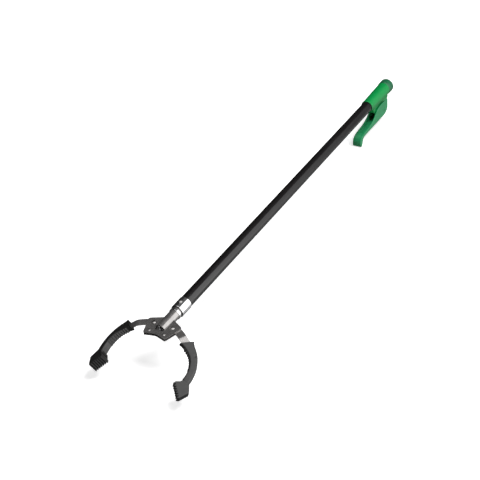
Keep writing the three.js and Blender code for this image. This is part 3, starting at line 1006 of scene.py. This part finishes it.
# ---- the object ----
build_tube()
build_ferrule()
build_collar()
build_ferrule_screw()
build_grip_screw()
build_grip()
build_cap()
build_lever()
build_lever_pin()
build_head()
build_crosshead()
build_yoke_pin()
for word, side in SIDES.items():
    build_arm(word, side)
    build_boot(word, side)
for node, material in CARRIED.items():
    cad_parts[node].data.materials.clear()
    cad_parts[node].data.materials.append(material)


# ---- floor, light and camera ----
FLOOR_GLOW = 0.72
FILL = 0.1  # even light from all round, for matt surfaces
DARK = 0.03  # what bright surfaces mirror where the studio is dark
SOFTBOX = 3.0  # a long light on the +Y side, tilted down over the object
SOFTBOX_TILT = math.radians(19)
HAZE = 0.1  # a weak glow over most of the upper half
ZENITH = 2.2  # a light straight above
GROUND = 0.5  # a grey floor


def build_floor():
    """A pale floor. The camera sees it brightened, so that shadows on it stay faint."""
    bm = bmesh.new()
    bmesh.ops.create_grid(bm, x_segments=8, y_segments=8, size=9)
    floor = as_object("studio_floor", bm)
    floor.location = (0.5, 0, cad_box[0].z - 0.0015)
    s = Shader("studio_white", (0.6, 0.6, 0.6), 0.9)
    camera_ray = s.add("ShaderNodeLightPath").outputs["Is Camera Ray"]
    s.surface.inputs["Emission Color"].default_value = (1, 1, 1, 1)
    s.links.new(s.math("MULTIPLY", camera_ray, FLOOR_GLOW), s.surface.inputs["Emission Strength"])
    floor.data.materials.append(s.bump(s.noise(40, 2), 0.2, 0.05).done())
    floor.visible_glossy = False


def area_light(name, place, target, size, power):
    light = bpy.data.lights.new(name, "AREA")
    light.shape = "RECTANGLE"
    light.size, light.size_y = size
    light.energy = power
    obj = bpy.data.objects.new(name, light)
    bpy.context.scene.collection.objects.link(obj)
    obj.location = place
    obj.rotation_mode = "QUATERNION"
    obj.rotation_quaternion = (Vector(target) - Vector(place)).to_track_quat("-Z", "Y")
    obj.visible_camera = False
    obj.visible_glossy = False


def build_world():
    """White to the camera. Glossy surfaces mirror a dark studio with a long softbox on the +Y side,
    a light straight above and a grey floor; matt ones get an even fill."""
    world = bpy.data.worlds.new("studio")
    bpy.context.scene.world = world
    world.use_nodes = True
    n = Nodes(world.node_tree)
    split = n.add("ShaderNodeSeparateXYZ")
    n.links.new(n.add("ShaderNodeTexCoord").outputs["Generated"], split.inputs[0])
    x, y, z = split.outputs

    sideways = n.math("MULTIPLY", y, math.cos(SOFTBOX_TILT))
    towards = n.math("ADD", sideways, n.math("MULTIPLY", z, math.sin(SOFTBOX_TILT)))
    radius = n.math("SQRT", n.math("SUBTRACT", 1.0001, n.math("MULTIPLY", x, x)))
    softbox = n.remap(n.math("DIVIDE", towards, radius), 0.62, 0.76, kind="SMOOTHSTEP")
    softbox = n.math("MULTIPLY", softbox, n.remap(x, -0.78, -0.55))
    haze = n.math("MULTIPLY", n.remap(y, -0.5, -0.15), n.remap(x, -0.79, -0.68))
    haze = n.math("MULTIPLY", haze, n.remap(z, -0.1, 0.3))
    zenith = n.remap(z, 0.84, 0.93, kind="SMOOTHSTEP")
    ground = n.math("MULTIPLY", n.remap(z, -0.25, -0.45), n.remap(y, 0.05, 0.3, 0.06, 1))
    mirrored = DARK
    for part, strength in ((softbox, SOFTBOX), (haze, HAZE), (zenith, ZENITH), (ground, GROUND)):
        mirrored = n.math("ADD", n.math("MULTIPLY", part, strength), mirrored)

    path = n.add("ShaderNodeLightPath")
    level = n.choose(path.outputs["Is Glossy Ray"], mirrored, FILL)
    level = n.choose(path.outputs["Is Camera Ray"], 1.0, level)
    background = n.add("ShaderNodeBackground")
    n.links.new(level, background.inputs["Strength"])
    background.inputs["Color"].default_value = (1, 1, 1, 1)
    n.links.new(background.outputs[0], n.add("ShaderNodeOutputWorld").inputs[0])


def build_camera():
    """Looks down on the tool from beyond the jaws, with the grip far off at the upper right."""
    back = Vector((0.6526, 0.4731, 0.5919)).normalized()
    right = Vector((-0.5162, 0.8494, -0.1099))
    right = (right - back * right.dot(back)).normalized()
    up = back.cross(right)
    data = bpy.data.cameras.new("camera")
    data.sensor_width = 36
    data.lens = 80.65
    data.clip_end = 50
    camera = bpy.data.objects.new("camera", data)
    bpy.context.scene.collection.objects.link(camera)
    turn = Matrix((right, up, back)).transposed().to_4x4()
    camera.matrix_world = Matrix.Translation((1.8171, 0.8821, 1.1107)) @ turn
    bpy.context.scene.camera = camera


build_floor()
build_world()
build_camera()
area_light("overhead", (0.2, 0.9, 2.0), (0.4, 0, 0), (1.1, 1.0), 72)
area_light("side", (1.0, 2.0, 0.35), (0.8, 0, 0), (1.6, 0.7), 16)
view = bpy.context.scene.view_settings
view.view_transform = "Standard"
view.look = "None"
